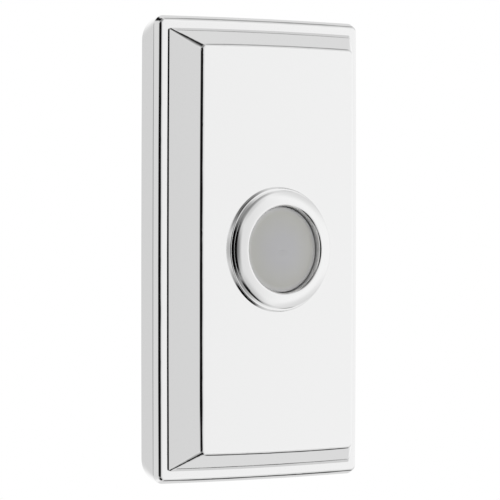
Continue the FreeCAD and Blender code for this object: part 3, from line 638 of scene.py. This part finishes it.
@dataclass(frozen=True, kw_only=True)
class BandedLacquer(Finish):
    """Dipped resistor lacquer: glossy beige, with painted rings of colour across it."""

    name: str = "resistor_lacquer"
    colour: str = "#cdb083"
    roughness: float = 0.18
    unevenness: float = 0.1
    drip_mm: float = 1.0
    drip_depth_mm: float = 0.02
    ior: float = 1.5
    start_mm: float = 3.2
    length_mm: float = 3.6
    bands: tuple[tuple[float, str], ...] = (
        (0.12, "#6b3f22"),
        (0.36, "#1a1a1a"),
        (0.52, "#b3261e"),
        (0.80, "#b08d3a"),
    )
    band_share: float = 0.08

    def shade(self, tree: bpy.types.NodeTree) -> bpy.types.Node:
        """Adds a glossy lacquer with its rings.

        Args:
            tree: The material's node tree.

        Returns:
            The shader node.
        """
        place = add_node(tree, "ShaderNodeTexCoord").outputs["Object"]
        z = add_node(tree, "ShaderNodeSeparateXYZ", links={"Vector": place}).outputs["Z"]
        ends = {
            "From Min": self.start_mm * MM,
            "From Max": (self.start_mm + self.length_mm) * MM,
        }
        along = add_node(tree, "ShaderNodeMapRange", ends, {"Value": z})
        ramp = add_node(tree, "ShaderNodeValToRGB", links={"Fac": along})
        stops = ramp.color_ramp
        stops.interpolation = "CONSTANT"
        stops.elements[0].color = linear(self.colour)
        stops.elements.remove(stops.elements[1])
        for share, colour in self.bands:
            stops.elements.new(share).color = linear(colour)
            stops.elements.new(share + self.band_share).color = linear(self.colour)
        drips = self.noise(tree, self.drip_mm)
        relief = add_node(
            tree, "ShaderNodeBump", {"Distance": self.drip_depth_mm * MM}, {"Height": drips}
        )
        return add_node(
            tree,
            "ShaderNodeBsdfPrincipled",
            {"IOR": self.ior},
            {"Base Color": ramp, "Roughness": self.gloss(tree, drips), "Normal": relief},
        )


class Stock(Enum):
    """The plain stock that the works are made of, each with its finish."""

    # Rolled steel, zinc plated: a pale, patchy grey, drawn out up and down.
    ZINC_PLATE = WorkedMetal(
        name="zinc_plated_steel",
        colour="#b9bcbd",
        second="#a9aeb0",
        roughness=0.28,
        tone_mm=5.0,
        line_mm=0.4,
        line_depth_mm=0.01,
        stretch=(1.0, 1.0, 0.1),
    )
    # Turned brass, nickel plated: a warm, pale shine.
    NICKEL_PLATE = WorkedMetal(
        name="nickel_plated_brass",
        colour="#cfcab4",
        second="#c0b896",
        roughness=0.18,
        tone_mm=3.0,
    )
    # Rolled brass strip, bare: yellow, and a little dulled.
    BRASS = WorkedMetal(
        name="contact_brass",
        colour="#d9b56c",
        second="#c39c55",
        roughness=0.24,
        tone_mm=3.0,
    )
    # Drawn stainless wire: cool and bright, with fine draw lines.
    SPRING_STEEL = WorkedMetal(
        name="stainless_spring_wire",
        colour="#b4b5b7",
        second="#9fa1a4",
        roughness=0.2,
        tone_mm=2.0,
        line_mm=0.2,
    )
    # Turned steel, blackened: a dark, oily satin.
    BLACK_OXIDE = WorkedMetal(
        name="blackened_steel",
        colour="#3a3a3c",
        second="#2b2b2e",
        roughness=0.34,
        tone_mm=1.5,
    )
    # Drawn copper wire, tinned: a soft, pale silver.
    TINNED_COPPER = WorkedMetal(
        name="tinned_copper_wire",
        colour="#c6c6c4",
        second="#b2b1ad",
        roughness=0.26,
        tone_mm=1.0,
        line_mm=0.2,
    )
    # Moulded acetal: milky white, and smooth to the touch.
    ACETAL = MouldedPlastic(
        name="white_acetal",
        colour="#ecece8",
        second="#e4e4df",
        roughness=0.35,
        speck_mm=0.3,
        texture_depth_mm=0.006,
        ior=1.48,
    )
    # Moulded phenolic: near black, with brown specks of wood flour.
    PHENOLIC = MouldedPlastic(
        name="black_phenolic",
        colour="#1b1a19",
        second="#2c2926",
        roughness=0.32,
        speck_mm=0.35,
        texture_depth_mm=0.01,
        ior=1.6,
    )


def dress(finish: Finish, *nodes: str) -> None:
    """Gives CAD nodes a finish.

    Args:
        finish: The finish.
        nodes: The nodes' names.
    """
    made = finish.material()
    for name in nodes:
        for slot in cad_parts[name].material_slots:
            slot.material = made
        LOG.info("%s is %s", name, finish.name)


@dataclass
class Cover:
    """The cover plate, the plate behind it and the screw that locks them."""

    casting: Finish = field(default_factory=ChromedCasting)

    def dress(self) -> None:
        """Gives the pieces their finishes."""
        dress(self.casting, "cover_plate")
        dress(Stock.ZINC_PLATE.value, "mounting_plate")
        dress(Stock.BLACK_OXIDE.value, "set_screw")


@dataclass
class Bezel:
    """The ring round the button, with its washer and nut."""

    turning: Finish = field(default_factory=TurnedBezel)

    def dress(self) -> None:
        """Gives the pieces their finishes."""
        dress(self.turning, "bezel_ring")
        dress(Stock.ZINC_PLATE.value, "lock_washer")
        dress(Stock.NICKEL_PLATE.value, "ring_nut")


@dataclass
class PushButton:
    """What moves when the button is pressed, and its spring."""

    cap: Finish = field(default_factory=OpalAcrylic)
    travel_mm: float = 1.0
    seam_mm: float = 0.001

    def dress(self) -> None:
        """Gives the pieces their finishes."""
        dress(self.cap, "button_lens")
        dress(Stock.ACETAL.value, "plunger")
        dress(Stock.BRASS.value, "contact_bridge")
        dress(Stock.SPRING_STEEL.value, "return_spring")
        self.coil()

    def coil(self) -> None:
        """Puts a copy of the spring, with its doubled points merged, in the spring's place on the
        body.
        """
        wire = bmesh.new()
        wire.from_mesh(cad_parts["return_spring"].data)
        bmesh.ops.remove_doubles(wire, verts=wire.verts, dist=self.seam_mm * MM)
        coil = add_object("spring_coil", wire, Stock.SPRING_STEEL.value.material())
        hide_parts("return_spring")
        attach(coil, "body")
        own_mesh(coil)


@dataclass
class TerminalBlock:
    """The base with its contacts, terminals and screws."""

    sides: tuple[str, ...] = ("left", "right")
    ends: tuple[str, ...] = ("upper", "lower")

    def dress(self) -> None:
        """Gives the pieces their finishes."""
        dress(Stock.PHENOLIC.value, "terminal_base")
        strips = [f"fixed_contact_{side}" for side in self.sides]
        clamps = [f"terminal_clamp_{side}" for side in self.sides]
        dress(Stock.BRASS.value, *strips, *clamps)
        dress(Stock.NICKEL_PLATE.value, *(f"terminal_screw_{side}" for side in self.sides))
        dress(Stock.ZINC_PLATE.value, *(f"base_screw_{end}" for end in self.ends))


@dataclass
class LampCircuit:
    """The lamp with its leads and resistor."""

    lamp: Finish = field(default_factory=ClearEpoxy)
    resistor: Finish = field(default_factory=BandedLacquer)

    def dress(self) -> None:
        """Gives the pieces their finishes."""
        dress(self.lamp, "led_lamp")
        leads = ("lamp_lead_left", "lamp_lead_right", "resistor_lead")
        dress(Stock.TINNED_COPPER.value, *leads)
        dress(self.resistor, "ballast_resistor")


@dataclass(frozen=True, kw_only=True)
class Zone:
    """A part of the tent that is darker than its white cloth.

    It is darkened in full up to core_deg from its middle, and not at all past edge_deg.
    """

    towards: tuple[float, float, float]
    core_deg: float
    edge_deg: float
    tone: str


@dataclass
class LightTent:
    """A round tent of lit white cloth, which the metal reflects and the camera looks past."""

    radius: float = 2.2
    cloth: str = "#ffffff"
    zones: tuple[Zone, ...] = (
        # Round the camera: dark lines in the rounded edges, and grey in the left bevel.
        Zone(towards=(-0.588, -0.809, 0.0), core_deg=18.5, edge_deg=39.0, tone="#101010"),
        Zone(towards=(-0.588, -0.809, 0.0), core_deg=43.0, edge_deg=80.0, tone="#ebebeb"),
        # Left, and behind on the left: grey in the left side and in the edges beside it.
        Zone(towards=(-0.75, 0.66, 0.0), core_deg=10.0, edge_deg=70.0, tone="#dcdcdc"),
        Zone(towards=(-0.951, 0.309, 0.0), core_deg=14.0, edge_deg=28.0, tone="#9a9a9a"),
        # Above: the upper bevel's grey and the dark lines beside it.
        Zone(towards=(-0.35, 0.0, 0.935), core_deg=14.0, edge_deg=32.0, tone="#181818"),
        Zone(towards=(-0.3, -0.5, 0.81), core_deg=12.0, edge_deg=46.0, tone="#989898"),
        # Below: the lower bevel's grey and the dark lines beside it.
        Zone(towards=(-0.2, -0.5, -0.84), core_deg=15.0, edge_deg=26.0, tone="#141414"),
        Zone(towards=(-0.3, -0.55, -0.78), core_deg=12.0, edge_deg=46.0, tone="#b4b4b4"),
        # High and low on the right: a soft shade on the ring's crown.
        Zone(towards=(0.583, 0.0, 0.812), core_deg=28.0, edge_deg=48.0, tone="#e4e4e4"),
        Zone(towards=(0.583, 0.0, -0.812), core_deg=28.0, edge_deg=48.0, tone="#e4e4e4"),
        Zone(towards=(0.583, 0.0, 0.812), core_deg=4.0, edge_deg=15.0, tone="#b4b4b4"),
        Zone(towards=(0.583, 0.0, -0.812), core_deg=5.0, edge_deg=16.0, tone="#4c4c4c"),
    )

    def build(self) -> None:
        """Makes the tent as a sphere whose light comes from its own material."""
        shell = bmesh.new()
        bmesh.ops.create_uvsphere(shell, u_segments=64, v_segments=32, radius=self.radius)
        tent = add_object("light_tent", shell, self.material())
        tent.visible_camera = False

    def material(self) -> bpy.types.Material:
        """Makes the cloth's material.

        Returns:
            A material that shines white, with the darker zones mixed in.
        """
        made = empty_material("lit_white_cloth")
        tree = made.node_tree
        place = add_node(tree, "ShaderNodeTexCoord").outputs["Object"]
        way = add_node(tree, "ShaderNodeVectorMath", {"operation": "NORMALIZE"}, {0: place})
        colour = add_node(tree, "ShaderNodeRGB").outputs[0]
        colour.default_value = linear(self.cloth)
        for zone in self.zones:
            middle = Vector(zone.towards).normalized()
            close = add_node(
                tree, "ShaderNodeVectorMath", {"operation": "DOT_PRODUCT", 1: middle}, {0: way}
            ).outputs["Value"]
            share = add_node(
                tree,
                "ShaderNodeMapRange",
                {
                    "interpolation_type": "SMOOTHSTEP",
                    "From Min": math.cos(math.radians(zone.edge_deg)),
                    "From Max": math.cos(math.radians(zone.core_deg)),
                },
                {"Value": close},
            )
            colour = add_node(
                tree,
                "ShaderNodeMix",
                {"data_type": "RGBA", "blend_type": "MULTIPLY", SECOND_COLOUR: linear(zone.tone)},
                {SHARE: share, FIRST_COLOUR: colour},
            ).outputs[MIXED_COLOUR]
        glow = add_node(tree, "ShaderNodeEmission", {"Strength": 1.0}, {"Color": colour})
        add_node(tree, "ShaderNodeOutputMaterial", links={"Surface": glow})
        return made


@dataclass
class Floor:
    """A plain pale floor below the wall-hung button, fading out into the white.

    Its sizes are in metres. It is left out of reflections, so the metal mirrors the tent alone.
    """

    below: float = 0.16
    radius: float = 0.7
    solid_radius: float = 0.3
    colour: str = "#f4f4f4"

    def build(self) -> None:
        """Makes the floor as a disc."""
        disc = bmesh.new()
        bmesh.ops.create_circle(disc, cap_ends=True, segments=96, radius=self.radius)
        bmesh.ops.translate(disc, verts=disc.verts, vec=(0.0, 0.0, -self.below))
        floor = add_object("floor", disc, self.material())
        floor.visible_glossy = False

    def material(self) -> bpy.types.Material:
        """Makes the floor's material.

        Returns:
            A matt pale paint that turns clear towards the floor's edge.
        """
        made = empty_material("matt_pale_paint")
        tree = made.node_tree
        place = add_node(tree, "ShaderNodeTexCoord").outputs["Object"]
        flat = add_node(
            tree, "ShaderNodeVectorMath", {"operation": "MULTIPLY", 1: (1.0, 1.0, 0.0)}, {0: place}
        )
        reach = add_node(tree, "ShaderNodeVectorMath", {"operation": "LENGTH"}, {0: flat})
        fade = add_node(
            tree,
            "ShaderNodeMapRange",
            {
                "interpolation_type": "SMOOTHSTEP",
                "From Min": self.solid_radius,
                "From Max": self.radius,
            },
            {"Value": reach.outputs["Value"]},
        )
        paint = add_node(tree, "ShaderNodeBsdfDiffuse", {"Color": linear(self.colour)})
        clear = add_node(tree, "ShaderNodeBsdfTransparent")
        mix = add_node(tree, "ShaderNodeMixShader", links={0: fade, 1: paint, 2: clear})
        add_node(tree, "ShaderNodeOutputMaterial", links={"Surface": mix})
        return made


@dataclass
class PhotoCamera:
    """The photograph's viewpoint: left of the plate, at its middle, through a long lens.

    Its places are in metres.
    """

    turn_deg: float = 35.69
    down_deg: float = 0.56
    roll_deg: float = 0.10
    distance: float = 0.6599
    right: float = 0.0010655
    up: float = -0.0002037
    lens_mm: float = 228.8
    sensor_mm: float = 36.0
    nearest: float = 0.01
    farthest: float = 10.0

    def build(self) -> None:
        """Makes the camera and makes it the scene's own."""
        turn, down = math.radians(self.turn_deg), math.radians(self.down_deg)
        ahead = Vector(
            (math.sin(turn) * math.cos(down), math.cos(turn) * math.cos(down), -math.sin(down))
        )
        side = ahead.cross(Vector((0.0, 0.0, 1.0))).normalized()
        over = side.cross(ahead)
        data = bpy.data.cameras.new("photo_camera")
        data.sensor_width = self.sensor_mm
        data.lens = self.lens_mm
        data.clip_start = self.nearest
        data.clip_end = self.farthest
        camera = bpy.data.objects.new("photo_camera", data)
        bpy.context.scene.collection.objects.link(camera)
        camera.rotation_mode = "QUATERNION"
        level = Matrix((side, over, -ahead)).transposed().to_quaternion()
        camera.rotation_quaternion = level @ Quaternion((0, 0, 1), math.radians(self.roll_deg))
        camera.location = -self.distance * ahead + self.right * side + self.up * over
        bpy.context.scene.camera = camera


@dataclass
class Studio:
    """The white world, the tent, the floor and the camera."""

    background: str = "#ffffff"
    tent: LightTent = field(default_factory=LightTent)
    floor: Floor = field(default_factory=Floor)
    camera: PhotoCamera = field(default_factory=PhotoCamera)

    def build(self) -> None:
        """Sets the studio up."""
        world = bpy.data.worlds.new("white_studio")
        bpy.context.scene.world = world
        world.use_nodes = True
        tree = world.node_tree
        tree.nodes.clear()
        white = add_node(tree, "ShaderNodeBackground", {"Color": linear(self.background)})
        add_node(tree, "ShaderNodeOutputWorld", links={"Surface": white})
        bpy.context.scene.view_settings.view_transform = "Standard"
        self.tent.build()
        self.floor.build()
        self.camera.build()


def main() -> None:
    """Dresses every piece and sets up the studio."""
    logging.basicConfig(level=logging.INFO)
    for assembly in (Cover(), Bezel(), PushButton(), TerminalBlock(), LampCircuit()):
        assembly.dress()
    Studio().build()


if __name__ == "__main__":
    main()
